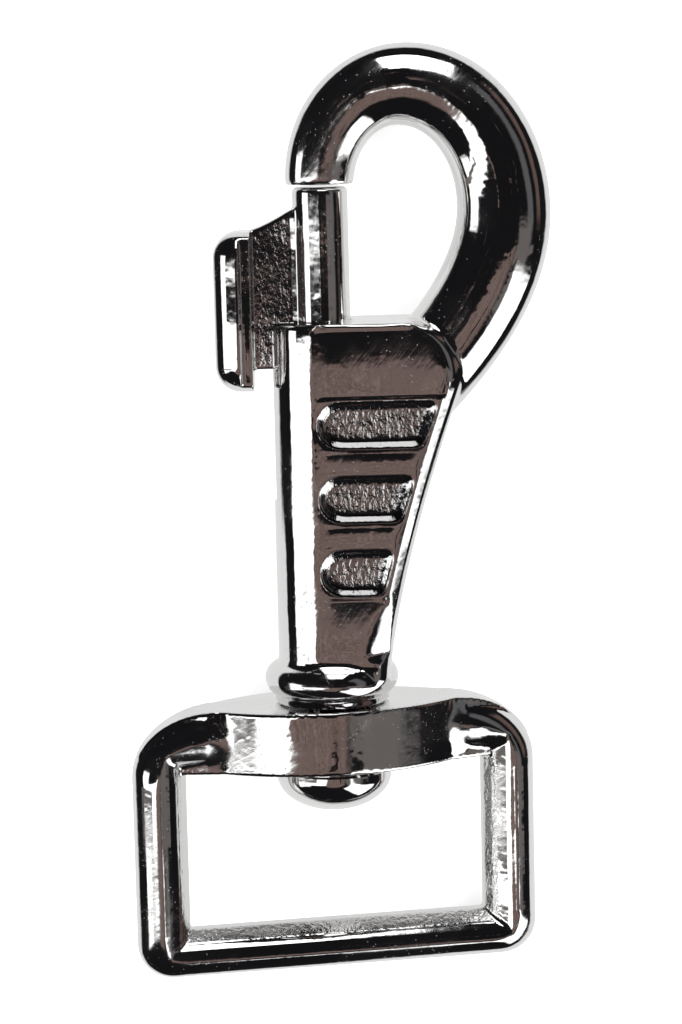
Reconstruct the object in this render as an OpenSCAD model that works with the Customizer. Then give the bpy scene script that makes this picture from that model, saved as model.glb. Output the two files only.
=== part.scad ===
// Swivel snap hook with a sprung bolt and a turning strap loop.
// It lies on its back: +X to the right, +Y along the swivel axis towards the hook, +Z up.
// The origin is on the swivel axis, on the inner face of the loop where the strap bears.
// Front and back are alike, as the halves of a die leave them.

/* [Strap loop] */
// Clear width between the side bars, for a 25 mm strap
opening_w = 26; // [22:0.1:40]
// Clear height between the base bar and the crossbar
opening_h = 13.9; // [10:0.1:30]
// Width of a side bar, seen from the front
side_bar_w = 4.6; // [3.4:0.1:7]
// Width of the base bar, seen from the front
base_bar_w = 4.2; // [2.6:0.1:7]
// Thickness of the bars, front to back
bar_depth = 5.4; // [4:0.1:7]
// Height of the crossbar that the swivel passes through
crossbar_h = 5.4; // [4:0.1:9]
// Width of the flat land down the middle of the bars' inner side
inner_land = 1; // [0.6:0.1:1.6]
// Reach of the sweeping top corners along X
shoulder_rx = 7.3; // [5:0.1:10]
// Drop of the sweeping top corners along Y
shoulder_ry = 5.8; // [4.5:0.1:9]
// Outer radius of the bottom corners
base_corner_r = 3; // [2:0.1:5]
// Radius left in the inner corners
inner_corner_r = 0.6; // [0.3:0.1:1.2]
// Thickness of the crossbar's boss, front to back
boss_depth = 11.4; // [10.5:0.1:14]
// Length of the boss along X
boss_len = 19.6; // [15:0.1:22]
// How far the swept frame stays inside the crossbar's top face and underside
frame_sink = 0.12; // [0.05:0.01:0.3]
// Turn of the loop about the swivel as it lies
loop_turn = 10.6; // [0:0.1:30]

/* [Swivel rivet] */
// Diameter of the shank through the crossbar
shank_d = 5; // [3.6:0.1:6.4]
// Diameter of the domed head
rivet_head_d = 9.9; // [8:0.1:11]
// Height of the domed head
rivet_head_h = 4; // [2.5:0.1:6]
// Length of the shank pressed into the body
press_len = 7; // [4:0.1:10]
// Radial clearance of the shank in the crossbar
swivel_clear = 0.08; // [0.04:0.01:0.1]
// Axial play at each face of the crossbar
swivel_play = 0.1; // [0.05:0.01:0.3]

/* [Body] */
// Length from the crossbar to the body's top face
body_len = 32.85; // [30:0.05:42]
// Diameter of the foot that bears on the crossbar
foot_d = 9.8; // [8.6:0.1:11]
// Diameter of the round collar over the foot
collar_d = 11.5; // [10.8:0.1:14]
// Height of the round collar
collar_h = 3; // [2:0.1:3.4]
// Height of the foot that shows under the collar
foot_show = 0.55; // [0.4:0.05:1.5]
// Thickness of the body, front to back
body_depth = 8.8; // [8:0.1:10.5]
// Distance from the bolt axis to the barrel's outer side
barrel_r = 4.52; // [4.2:0.02:5.4]
// Width of the round part of the barrel before the flat panel starts
barrel_round = 3.5; // [2.5:0.1:4]
// Distance from the bolt axis to the body's right side, at the collar
waist_x = 5; // [4.6:0.1:6]
// Distance from the bolt axis to the body's right corner, before it is rounded
shoulder_x = 13.6; // [12:0.1:15]
// Flare of the right side, 1 is straight and more is hollow
flare = 1.38; // [1:0.02:1.5]
// Drop from the top face to where the right shoulder starts to round
shoulder_drop = 5.7; // [4.5:0.1:7]
// Width of the rounding down the body's right side
edge_round = 1.7; // [1:0.1:2.4]
// Bevel around the top face
top_bevel = 0.35; // [0.2:0.05:0.6]

/* [Grip pockets] */
// Number of pockets on each face
pocket_count = 3; // [2:1:4]
// Height of a pocket at the panel
pocket_h = 3.8; // [2.5:0.1:5]
// Distance from one pocket to the next
pocket_pitch = 6.3; // [5.2:0.1:7]
// Distance from the top face to the middle of the first pocket
pocket_top = 8.5; // [6.5:0.1:11]
// Left end of the pockets, from the bolt axis
pocket_left = -0.6; // [-1:0.1:1]
// Width of the rim left between the pockets and the body's right side
pocket_rim = 1.7; // [1.2:0.1:2.5]
// Depth of the pockets
pocket_deep = 0.5; // [0.3:0.05:0.7]
// Run of the pockets' sloping walls
pocket_slope = 0.4; // [0.2:0.05:0.6]

/* [Hook] */
// Gap between the body's top face and the hook's tip
mouth = 11.55; // [9:0.05:14]
// Widest gap between the bolt and the hook
eye_w = 9.2; // [7:0.1:12]
// Height of the eye over the body's top face
eye_h = 16.3; // [14.5:0.1:20]
// Distance from the bolt axis to the top of the arch
arch_x = 7; // [5:0.1:9]
// Height of the hook's widest point over the body's top face
widest_h = 9.1; // [7:0.1:11]
// Width of the hook at its tip
tip_w = 5.8; // [5:0.1:7]
// Width of the hook at the top of the arch
arch_w = 6.75; // [5.5:0.05:8]
// Width of the hook down its right side
side_w = 7.9; // [6:0.1:9]
// Width of the hook where it runs into the body
root_w = 8.1; // [6.5:0.1:9]
// Thickness of the hook at its tip, front to back
tip_depth = 5.8; // [5:0.1:7]
// Thickness of the hook down its right side, front to back
side_depth = 7.2; // [6:0.1:8]
// Chamfer around the face of the tip
tip_chamfer = 0.35; // [0.1:0.05:0.8]

/* [Bolt] */
// Diameter of the bolt's rod
bolt_d = 4.7; // [4:0.1:5]
// Radial clearance of the rod in its bore
bolt_clear = 0.07; // [0.03:0.01:0.1]
// Gap between the closed bolt and the hook's tip
bolt_gap = 0.2; // [0.1:0.05:0.5]
// Bevel on the rod's top end
bolt_bevel = 0.4; // [0.2:0.05:0.8]
// How far the bolt draws back
bolt_travel = 11; // [8:0.1:12]
// Length of the rod below the fin
bolt_tail = 2.4; // [1:0.1:4]
// Thickness of the fin that carries the thumb bar
fin_t = 2.3; // [1.6:0.1:3]
// Height from the rod's top end to the start of the fin
fin_start = 1.8; // [1:0.1:4]
// Drop of the fin's curved top edge
fin_drop = 1.8; // [0.6:0.1:2.4]
// Clearance on each side of the fin in its slot
fin_clear = 0.2; // [0.1:0.05:0.4]
// Distance from the bolt axis to the thumb bar's outer side
thumb_x = 9.15; // [8.8:0.05:12]
// Width of the thumb bar, seen from the front
thumb_w = 3.2; // [2.6:0.1:4]
// Length of the thumb bar
thumb_len = 13.5; // [10:0.1:16]
// Thickness of the thumb bar, front to back
thumb_depth = 6.8; // [5:0.1:9]
// Radius of the thumb bar's rounded edges
thumb_r = 1.2; // [0.6:0.1:1.5]
// Radius of the thumb bar's outer corners, seen from the front
thumb_end_r = 1.8; // [1:0.1:2.2]
// Width of the ledge along the thumb bar's inner side
ledge_w = 1; // [0.6:0.1:1.2]
// Drop of the ledge from the thumb bar's face
ledge_drop = 0.6; // [0.3:0.1:1]
// Overhang of the thumb bar below the fin
thumb_hang = 1.8; // [0.5:0.1:3]

/* [Bolt spring] */
// Diameter of the spring wire
wire_d = 0.55; // [0.4:0.05:0.7]
// Outer diameter of the spring
spring_d = 4.3; // [3.4:0.1:4.4]
// Number of turns
spring_turns = 11; // [6:1:12]

/* [Hidden] */

// Heights along the swivel axis
crossbar_top = opening_h + crossbar_h;
foot_y = crossbar_top + swivel_play;
collar_y = foot_y + foot_show + collar_h / 2;
body_top = crossbar_top + body_len;
tip_y = body_top + mouth;
bolt_top = tip_y - bolt_gap;
shank_top = foot_y + press_len;

// Bolt and bore
bore_r = bolt_d / 2 + bolt_clear;
fin_top = bolt_top - fin_start;
thumb_top = fin_top - fin_drop;
thumb_low = thumb_top - thumb_len;
fin_low = thumb_low + thumb_hang;
rod_low = fin_low - bolt_tail;
slot_low = fin_low - bolt_travel - fin_clear;

// Hook centre line
widest_x = bolt_d / 2 + eye_w + side_w / 2;
widest_y = body_top + widest_h;
arch_y = body_top + eye_h + arch_w / 2;
root = [shoulder_x - 5.9, body_top - 5.5];
round_handle = 0.56;
section_points = 28;
section_power = 2.3;
hook_steps = 13;

// Bezier point on four handles
function bezier(p, t) =
    pow(1 - t, 3) * p[0] + 3 * pow(1 - t, 2) * t * p[1] + 3 * (1 - t) * t * t * p[2] + pow(t, 3) * p[3];

// Direction of the same curve
function bezier_dir(p, t) =
    let (d = pow(1 - t, 2) * (p[1] - p[0]) + 2 * (1 - t) * t * (p[2] - p[1]) + t * t * (p[3] - p[2]))
    d / norm(d);

// Value between a and b
function mix(a, b, t) = a + (b - a) * t;

// Power that keeps its sign
function signed_pow(v, p) = sign(v) * pow(abs(v), p);

// Rings of equal length joined to one solid, open ends closed by flat caps.
// Each ring runs anticlockwise, seen from the end that the rings lead to.
module loft(rings, closed = false) {
    n = len(rings[0]);
    m = len(rings);
    last = closed ? m - 1 : m - 2;
    sides = [for (i = [0:last]) for (j = [0:n - 1])
        let (k = (i + 1) % m, l = (j + 1) % n)
        each [[i * n + j, k * n + l, i * n + l], [i * n + j, k * n + j, k * n + l]]];
    caps = closed ? [] : [[for (j = [0:n - 1]) j], [for (j = [n - 1:-1:0]) (m - 1) * n + j]];
    polyhedron([for (r = rings) each r], concat(sides, caps), convexity = 8);
}

// Points along an elliptical corner, from angle a to angle b
function corner(c, rx, ry, a, b, steps) =
    [for (i = [0:steps]) let (t = mix(a, b, i / steps)) [c[0] + rx * cos(t), c[1] + ry * sin(t)]];

// Front outline of the loop's swept frame, t = 0 at its outer edge and 1 at the opening
function loop_outline(t, steps = 8) =
    let (
        w = opening_w / 2 + side_bar_w * (1 - t),
        top = mix(crossbar_top - frame_sink, opening_h + frame_sink, t),
        low = -base_bar_w * (1 - t),
        rx = mix(shoulder_rx, inner_corner_r, t),
        ry = mix(shoulder_ry - frame_sink, inner_corner_r, t),
        r = mix(base_corner_r, inner_corner_r, t)
    )
    concat(
        corner([w - rx, top - ry], rx, ry, 0, 90, steps),
        corner([rx - w, top - ry], rx, ry, 90, 180, steps),
        corner([r - w, low + r], r, r, 180, 270, steps),
        corner([w - r, low + r], r, r, 270, 360, steps)
    );

// Section of a bar: crowned outside, a crease, a bevel, then a drafted inner side with a flat land
function bar_section() =
    let (
        h = bar_depth / 2,
        land = inner_land / 2,
        crown = [for (i = [0:6]) let (a = 90 * i / 6) [0.4 * (1 - cos(a)), h * sin(a)]],
        inner = [[0.6, h * 0.96], [0.8, mix(h, land, 0.35)], [1, land]],
        half = concat(crown, inner)
    )
    concat(half, [for (i = [len(half) - 1:-1:1]) [half[i][0], -half[i][1]]]);

// Crossbar seen from the front, with its sweeping shoulders
function crossbar_face() =
    let (w = opening_w / 2 + side_bar_w)
    concat(
        [[w, 0]],
        corner([w - shoulder_rx, crossbar_top - shoulder_ry], shoulder_rx, shoulder_ry, 0, 90, 12),
        corner([shoulder_rx - w, crossbar_top - shoulder_ry], shoulder_rx, shoulder_ry, 90, 180, 12),
        [[-w, 0]]
    );

// Crossbar seen along the swivel: a lens-shaped boss that runs out into tapering ends
function crossbar_plan() =
    let (
        chord = boss_len / 2,
        bar = bar_depth * 0.46,
        rise = boss_depth / 2 - bar,
        lens_r = (chord * chord + rise * rise) / (2 * rise),
        half = asin(chord / lens_r),
        ends = opening_w / 2 + side_bar_w - 0.5,
        lens = corner([0, boss_depth / 2 - lens_r], lens_r, lens_r, 90 - half, 90 + half, 24),
        front = concat([[ends, bar_depth * 0.12]], lens, [[-ends, bar_depth * 0.12]])
    )
    concat(front, [for (i = [len(front) - 1:-1:0]) [front[i][0], -front[i][1]]]);

module strap_loop() {
    color("silver")
        rotate([0, loop_turn, 0])
        difference() {
            union() {
                loft([for (s = bar_section()) [for (p = loop_outline(s[0])) [p[0], p[1], s[1]]]], closed = true);
                intersection() {
                    translate([0, crossbar_top, 0])
                        rotate([90, 0, 0])
                        linear_extrude(crossbar_h)
                        polygon(crossbar_plan());
                    linear_extrude(2 * boss_depth, center = true)
                        polygon(crossbar_face());
                }
            }
            translate([0, crossbar_top + 1, 0])
                rotate([90, 0, 0])
                cylinder(r = shank_d / 2 + swivel_clear, h = crossbar_h + 2, $fn = 64);
        }
}

module swivel_rivet() {
    rim = rivet_head_h * 0.23;
    dome = rivet_head_h - rim;
    head_r = rivet_head_d / 2;
    color("gainsboro")
        translate([0, opening_h - swivel_play, 0])
        rotate([90, 0, 0])
        rotate_extrude($fn = 96)
        polygon(concat(
            [[0, opening_h - swivel_play - shank_top], [shank_d / 2, opening_h - swivel_play - shank_top]],
            [[shank_d / 2, 0], [head_r - 0.3, 0], [head_r, 0.3]],
            [for (i = [0:11]) let (a = 90 * i / 12) [head_r * cos(a), rim + dome * sin(a)]],
            [[0, rivet_head_h]]
        ));
}

// Body's right side at height y, flared up to the start of the shoulder and then rounded
function flare_x(y) = waist_x + (shoulder_x - waist_x) * pow((y - collar_y) / (body_top - collar_y), flare);
function side_x(y) =
    let (
        start = body_top - shoulder_drop,
        tilt = atan((flare_x(start + 0.05) - flare_x(start - 0.05)) / 0.1),
        r = shoulder_drop / (1 + sin(tilt)),
        c = [flare_x(start) - r * cos(tilt), body_top - r]
    )
    y < start ? flare_x(y) : c[0] + sqrt(max(0, r * r - pow(y - c[1], 2)));

// Section of the body at height y, drawn in by ease
function body_section(y, ease) =
    let (
        h = body_depth / 2 - ease,
        left = barrel_round - barrel_r,
        right = side_x(y) - edge_round - ease,
        a = barrel_round - ease,
        steps = 7,
        back = [for (i = [0:steps]) let (t = 90 + 90 * i / steps) [left + a * cos(t), y, h * sin(t)]],
        side = [for (i = [0:steps]) let (t = 90 * i / steps)
            [right + edge_round * signed_pow(cos(t), 0.8), y, h * signed_pow(sin(t), 0.8)]],
        top = concat(side, back)
    )
    concat([for (p = top) [p[0], y, -p[2]]], [for (i = [len(top) - 2:-1:1]) top[i]]);

// Outline of one grip pocket centred at height y, drawn in by ease
function pocket_outline(y, ease) =
    let (
        r = pocket_h / 2 - ease,
        left = pocket_left + pocket_h / 2,
        high = side_x(y + r) - pocket_rim - ease,
        low = side_x(y - r) - pocket_rim - ease,
        steps = 8
    )
    concat(
        [[low, y - r], [high, y + r]],
        [for (i = [0:steps]) let (t = 90 + 180 * i / steps) [left + r * cos(t), y + r * sin(t)]]
    );

module pockets() {
    face = body_depth / 2;
    floor = face - pocket_deep;
    reach = pocket_slope / pocket_deep;
    for (i = [0:pocket_count - 1]) {
        y = body_top - pocket_top - i * pocket_pitch;
        loft([
            [for (p = pocket_outline(y, pocket_slope)) [p[0], p[1], floor]],
            [for (p = pocket_outline(y, -reach)) [p[0], p[1], face + 1]]
        ]);
    }
}

// Centre line of the hook from its tip to its root, u from 0 to 3
function hook_part(u) = min(2, floor(u));
function hook_handles(part) =
    part == 0
        ? [
            [0, tip_y],
            [0, mix(tip_y, arch_y, round_handle)],
            [arch_x * (1 - round_handle), arch_y],
            [arch_x, arch_y]
        ]
        : part == 1
        ? [
            [arch_x, arch_y],
            [mix(arch_x, widest_x, round_handle), arch_y],
            [widest_x, mix(widest_y, arch_y, round_handle)],
            [widest_x, widest_y]
        ]
        : [
            [widest_x, widest_y],
            [widest_x, widest_y - 5.2],
            [root[0] + 4.2, root[1] + 4.2],
            root
        ];

// Ring of the hook at u, with the section's width across the centre line
function hook_ring(u, ease) =
    let (
        part = hook_part(u),
        t = u - part,
        p = bezier(hook_handles(part), t),
        d = bezier_dir(hook_handles(part), t),
        w = part == 0 ? mix(tip_w, arch_w, t) : part == 1 ? mix(arch_w, side_w, sin(90 * t)) : mix(side_w, root_w, sin(90 * t)),
        h = mix(tip_depth, side_depth, min(1, u / 2)),
        q = 2 / section_power
    )
    [for (j = [0:section_points - 1])
        let (
            a = 360 * j / section_points,
            across = (w / 2 - ease) * signed_pow(cos(a), q),
            up = (h / 2 - ease) * signed_pow(sin(a), q)
        )
        [p[0] - d[1] * across, p[1] + d[0] * across, up]];

module hook_ring_solid() {
    step = tip_chamfer / (arch_y - tip_y);
    loft(concat(
        [hook_ring(0, tip_chamfer), hook_ring(step, 0)],
        [for (i = [1:3 * hook_steps]) hook_ring(i / hook_steps, 0)]
    ));
}

// Right-hand shell from the collar to the top face
module body_shell() {
    bend = body_top - shoulder_drop;
    top = body_top - top_bevel;
    loft([
        each [for (i = [0:5]) body_section(mix(collar_y, bend, i / 6), 0)],
        each [for (i = [0:9]) body_section(mix(bend, top, i / 9), 0)],
        body_section(body_top, top_bevel)
    ]);
}

module along_y(y) {
    translate([0, y, 0])
        rotate([-90, 0, 0])
        children();
}

module hook_body() {
    bead = collar_h / 2;
    color("silver")
        difference() {
            union() {
                body_shell();
                hook_ring_solid();
                along_y(foot_y)
                    cylinder(d = foot_d, h = foot_show + collar_h * 0.7, $fn = 96);
                along_y(collar_y)
                    rotate_extrude($fn = 96)
                    translate([collar_d / 2 - bead, 0])
                    circle(bead, $fn = 48);
            }
            along_y(shank_top)
                cylinder(r = bore_r, h = body_top - shank_top + 1, $fn = 64);
            along_y(foot_y - 1)
                cylinder(d = shank_d, h = press_len + 1, $fn = 64);
            translate([-2 * barrel_r, slot_low, -fin_t / 2 - fin_clear])
                cube([2 * barrel_r, body_top - slot_low + 1, fin_t + 2 * fin_clear]);
            pockets();
            mirror([0, 0, 1])
                pockets();
        }
}

// Fin with a concave top edge that falls from the rod to the thumb bar
module fin() {
    inner = -bolt_d / 2 + 0.6;
    outer = thumb_w / 2 - thumb_x;
    sink = 0.15;
    steps = 6;
    linear_extrude(fin_t, center = true)
        polygon(concat(
            [[inner, fin_low], [inner, fin_top]],
            [for (i = [0:steps]) let (t = i / steps)
                [mix(-bolt_d / 2, outer, t), fin_top - (fin_drop + sink) * sin(90 * t)]],
            [[outer, fin_low]]
        ));
}

// Thumb bar seen from the front, with its outer corners swept round
function thumb_front() =
    let (left = -thumb_x, right = thumb_w - thumb_x, r = thumb_end_r, small = 0.5)
    concat(
        corner([right - small, thumb_top - small], small, small, 0, 90, 4),
        corner([left + r, thumb_top - r], r, r, 90, 180, 8),
        corner([left + r, thumb_low + r], r, r, 180, 270, 8),
        corner([right - small, thumb_low + small], small, small, 270, 360, 4)
    );

// Thumb bar seen along the bolt, with a ledge beside the fin
function thumb_section() =
    let (
        left = -thumb_x,
        right = thumb_w - thumb_x,
        h = thumb_depth / 2,
        face = [[right - ledge_w, h], [right - ledge_w + 0.25, h - ledge_drop]],
        inner = [[right - 0.3, h - ledge_drop], [right, h - ledge_drop - 0.3]],
        half = concat(corner([left + thumb_r, h - thumb_r], thumb_r, thumb_r, 180, 90, 6), face, inner)
    )
    concat(half, [for (i = [len(half) - 1:-1:0]) [half[i][0], -half[i][1]]]);

// Thumb bar seen from the side
function thumb_side() =
    let (h = thumb_depth / 2, r = thumb_r)
    concat(
        corner([h - r, thumb_top - r], r, r, 0, 90, 6),
        corner([r - h, thumb_top - r], r, r, 90, 180, 6),
        corner([r - h, thumb_low + r], r, r, 180, 270, 6),
        corner([h - r, thumb_low + r], r, r, 270, 360, 6)
    );

module thumb_bar() {
    intersection() {
        linear_extrude(thumb_depth, center = true)
            polygon(thumb_front());
        translate([0, thumb_top, 0])
            rotate([90, 0, 0])
            linear_extrude(thumb_len)
            polygon(thumb_section());
        translate([-thumb_x, 0, 0])
            rotate([0, 90, 0])
            linear_extrude(thumb_w)
            polygon(thumb_side());
    }
}

module bolt() {
    color("lightgray") {
        along_y(rod_low)
            cylinder(d = bolt_d, h = bolt_top - bolt_bevel - rod_low, $fn = 64);
        along_y(bolt_top - bolt_bevel)
            cylinder(d1 = bolt_d, d2 = bolt_d - 2 * bolt_bevel, h = bolt_bevel, $fn = 64);
        fin();
        thumb_bar();
    }
}

// Coil that stands between the rivet's end and the rod
module bolt_spring() {
    seat = 0.05;
    low = shank_top + seat + wire_d / 2;
    high = rod_low - seat - wire_d / 2;
    coil_r = (spring_d - wire_d) / 2;
    per_turn = 16;
    count = spring_turns * per_turn;
    slope = atan((high - low) / spring_turns / (2 * PI * coil_r));
    color("dimgray")
        loft([for (i = [0:count]) let (a = 360 * i / per_turn, y = mix(low, high, i / count))
            [for (j = [0:7]) let (b = 360 * j / 8, r = coil_r + wire_d / 2 * cos(b), s = wire_d / 2 * sin(b))
                [
                    r * cos(a) + s * sin(slope) * sin(a),
                    y + s * cos(slope),
                    r * sin(a) - s * sin(slope) * cos(a)
                ]]]);
}

hook_body();
bolt();
bolt_spring();
strap_loop();
swivel_rivet();
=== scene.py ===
import math

import bpy
import bmesh
from mathutils import Matrix, Vector


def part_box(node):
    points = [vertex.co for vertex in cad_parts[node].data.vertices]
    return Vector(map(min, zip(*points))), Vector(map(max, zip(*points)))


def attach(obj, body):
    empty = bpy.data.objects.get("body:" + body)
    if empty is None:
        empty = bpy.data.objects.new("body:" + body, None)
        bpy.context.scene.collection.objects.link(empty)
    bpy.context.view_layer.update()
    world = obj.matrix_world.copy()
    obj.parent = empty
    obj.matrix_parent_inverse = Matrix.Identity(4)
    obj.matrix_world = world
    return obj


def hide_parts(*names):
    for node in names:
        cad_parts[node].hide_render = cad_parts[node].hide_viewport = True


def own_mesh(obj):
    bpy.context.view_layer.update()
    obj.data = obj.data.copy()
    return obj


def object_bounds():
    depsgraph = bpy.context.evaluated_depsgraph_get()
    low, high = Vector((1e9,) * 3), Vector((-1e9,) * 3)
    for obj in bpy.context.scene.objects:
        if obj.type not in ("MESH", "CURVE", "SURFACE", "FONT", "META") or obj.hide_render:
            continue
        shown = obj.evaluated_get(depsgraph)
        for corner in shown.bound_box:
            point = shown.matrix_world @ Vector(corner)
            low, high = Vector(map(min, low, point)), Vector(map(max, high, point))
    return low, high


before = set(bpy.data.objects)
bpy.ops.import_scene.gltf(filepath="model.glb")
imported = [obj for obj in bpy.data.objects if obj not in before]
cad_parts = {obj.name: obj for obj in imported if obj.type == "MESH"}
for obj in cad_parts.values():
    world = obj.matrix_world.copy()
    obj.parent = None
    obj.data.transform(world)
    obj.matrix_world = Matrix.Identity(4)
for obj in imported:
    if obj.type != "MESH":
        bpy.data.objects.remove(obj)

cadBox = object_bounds()
floorHeight = cadBox[0].z
print("frame loaded, lowest point at", round(floorHeight * 1000, 2), "mm")

# Heights along the swivel axis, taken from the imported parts
tipGap, mouth, crossbar = 0.0002, 0.01155, 0.0054
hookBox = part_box("hook_body")
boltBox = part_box("bolt")
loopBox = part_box("strap_loop")
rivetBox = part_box("swivel_rivet")
height = {
    "foot": hookBox[0].y,
    "boltTop": boltBox[1].y,
    "tip": boltBox[1].y + tipGap,
    "bodyTop": boltBox[1].y + tipGap - mouth,
    "crossbarTop": loopBox[1].y,
    "opening": loopBox[1].y - crossbar,
    "rivetEnd": rivetBox[1].y,
}
touching, level, apart = 0.00001, 0.0001, 0.001     # margins for picking points, in metres


def deselectAll():
    if bpy.context.object and bpy.context.object.mode != "OBJECT":
        bpy.ops.object.mode_set(mode="OBJECT")
    bpy.ops.object.select_all(action="DESELECT")


def pick(piece, *others):
    deselectAll()
    for other in others:
        other.select_set(True)
    piece.select_set(True)
    bpy.context.view_layer.objects.active = piece


# Opens a piece for editing, with all or nothing of it selected
def edit(piece, kind, action="DESELECT"):
    pick(piece)
    bpy.ops.object.mode_set(mode="EDIT")
    bpy.ops.mesh.select_mode(type=kind)
    bpy.ops.mesh.select_all(action=action)


def leaveEdit():
    bpy.ops.object.mode_set(mode="OBJECT")


def named(name):
    piece = bpy.context.object
    piece.name = name
    piece.data.name = name
    return piece


def settle(piece):
    pick(piece)
    bpy.ops.object.transform_apply(location=True, rotation=True, scale=True)
    return piece


def addBlock(name, low, high):
    low, high = Vector(low), Vector(high)
    deselectAll()
    bpy.ops.mesh.primitive_cube_add(size=1, location=(low + high) / 2)
    block = named(name)
    block.scale = high - low
    return settle(block)


# A cylinder along the swivel axis, from height low to height high
def addRod(name, radius, low, high, sides=96, centreX=0.0, squash=1.0):
    deselectAll()
    bpy.ops.mesh.primitive_cylinder_add(
        vertices=sides, radius=radius, depth=high - low,
        location=(centreX, (low + high) / 2, 0), rotation=(math.pi / 2, 0, 0))
    rod = named(name)
    rod.scale.x = squash
    return settle(rod)


def selectEdges(piece, test):
    edit(piece, "EDGE")
    mesh = bmesh.from_edit_mesh(piece.data)
    for edge in mesh.edges:
        edge.select = test(edge.verts[0].co, edge.verts[1].co)
    bmesh.update_edit_mesh(piece.data)


def bevelEdges(piece, test, width, segments, profile=0.5):
    selectEdges(piece, test)
    bpy.ops.mesh.bevel(offset=width, segments=segments, profile=profile, affect="EDGES",
                       clamp_overlap=False)
    leaveEdit()


def faceOut(piece):
    pick(piece)
    bpy.ops.object.mode_set(mode="EDIT")
    bpy.ops.mesh.select_all(action="SELECT")
    bpy.ops.mesh.normals_make_consistent(inside=False)
    leaveEdit()


def selectFaces(piece, test):
    edit(piece, "FACE")
    mesh = bmesh.from_edit_mesh(piece.data)
    for face in mesh.faces:
        face.select = all(test(v.co) for v in face.verts)
    bmesh.update_edit_mesh(piece.data)


def cutWith(piece, cutter, operation="DIFFERENCE"):
    pick(piece)
    modifier = piece.modifiers.new(operation.title(), "BOOLEAN")
    modifier.operation = operation
    modifier.object = cutter
    modifier.solver = "EXACT"
    bpy.ops.object.modifier_apply(modifier=modifier.name)
    bpy.data.objects.remove(cutter, do_unlink=True)


def joinPieces(piece, *others):
    pick(piece, *others)
    bpy.ops.object.join()
    return piece


# One cast skin over all that was joined: even voxels, then a light smoothing
def castSkin(piece, voxel, smoothing):
    pick(piece)
    remesh = piece.modifiers.new("Skin", "REMESH")
    remesh.mode = "VOXEL"
    remesh.voxel_size = voxel
    remesh.adaptivity = 0
    bpy.ops.object.modifier_apply(modifier=remesh.name)
    smooth = piece.modifiers.new("Soften", "SMOOTH")
    smooth.factor = 0.5
    smooth.iterations = smoothing
    bpy.ops.object.modifier_apply(modifier=smooth.name)
    bpy.ops.object.shade_smooth()
    print(piece.name, len(piece.data.polygons), "faces")


# Blends the creases in one part of the skin
def softenNear(piece, test, rounds):
    group = piece.vertex_groups.new(name="soft")
    group.add([v.index for v in piece.data.vertices if test(v.co)], 1.0, "REPLACE")
    pick(piece)
    smooth = piece.modifiers.new("SoftenNear", "SMOOTH")
    smooth.factor = 0.5
    smooth.iterations = rounds
    smooth.vertex_group = "soft"
    bpy.ops.object.modifier_apply(modifier=smooth.name)
    piece.vertex_groups.clear()


def between(a, b, t):
    return a + (b - a) * t


hookSizes = {
    "tipWidth": 0.0058, "archWidth": 0.0069, "sideWidth": 0.0079, "rootWidth": 0.0081,
    "archX": 0.0070, "archHeight": 0.0163, "eyeWidth": 0.0092, "widestHeight": 0.0091,
    "depthShare": 0.93, "boltRadius": 0.00235, "handle": 0.56, "sectionHandle": 0.64, "circleHandle": 0.5523,
    "tipLead": 0.001, "widestLead": 0.0052, "rootIn": 0.0059, "rootDrop": 0.0055, "rootLead": 0.0042,
    "rootEnd": 0.001,
}
bodySizes = {
    "depth": 0.0088, "barrelSide": 0.00452, "barrelRound": 0.0035, "waist": 0.0050,
    "shoulder": 0.0136, "flare": 1.38, "shoulderDrop": 0.0057, "edgeRound": 0.0017,
    "topBevel": 0.00035, "crown": 0.018, "crownFade": 0.0012, "crownDepth": 0.00012,
    "crownTop": 0.0004, "crownLow": 0.0012,
    "footRadius": 0.0049, "footShow": 0.00055, "collarRadius": 0.00575, "collarBead": 0.0015,
    "boreRadius": 0.00242, "slotLow": 0.0370, "slotHalf": 0.00135, "voxel": 0.000196, "smoothing": 6,
    "facetSide": 0.0019, "facetFoot": 0.0032, "facetFromTop": 0.0060, "facetSlope": 0.12, "facetBow": 80.0,
    "facetFadeTop": 0.003, "facetFadeLow": 0.001, "facetSoft": 0.0005,
}
pocketSizes = {
    "count": 3, "height": 0.0038, "pitch": 0.0063, "fromTop": 0.0085, "left": -0.0006,
    "rim": 0.0017, "deep": 0.0005, "slope": 0.0004,
    "softHigh": 0.006, "softLow": 0.0236, "softLeft": -0.0012, "softRight": 0.013, "softDepth": 0.0036,
    "softRounds": 9,
}
collarHeight = height["foot"] + bodySizes["footShow"] + bodySizes["collarBead"]


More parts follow.
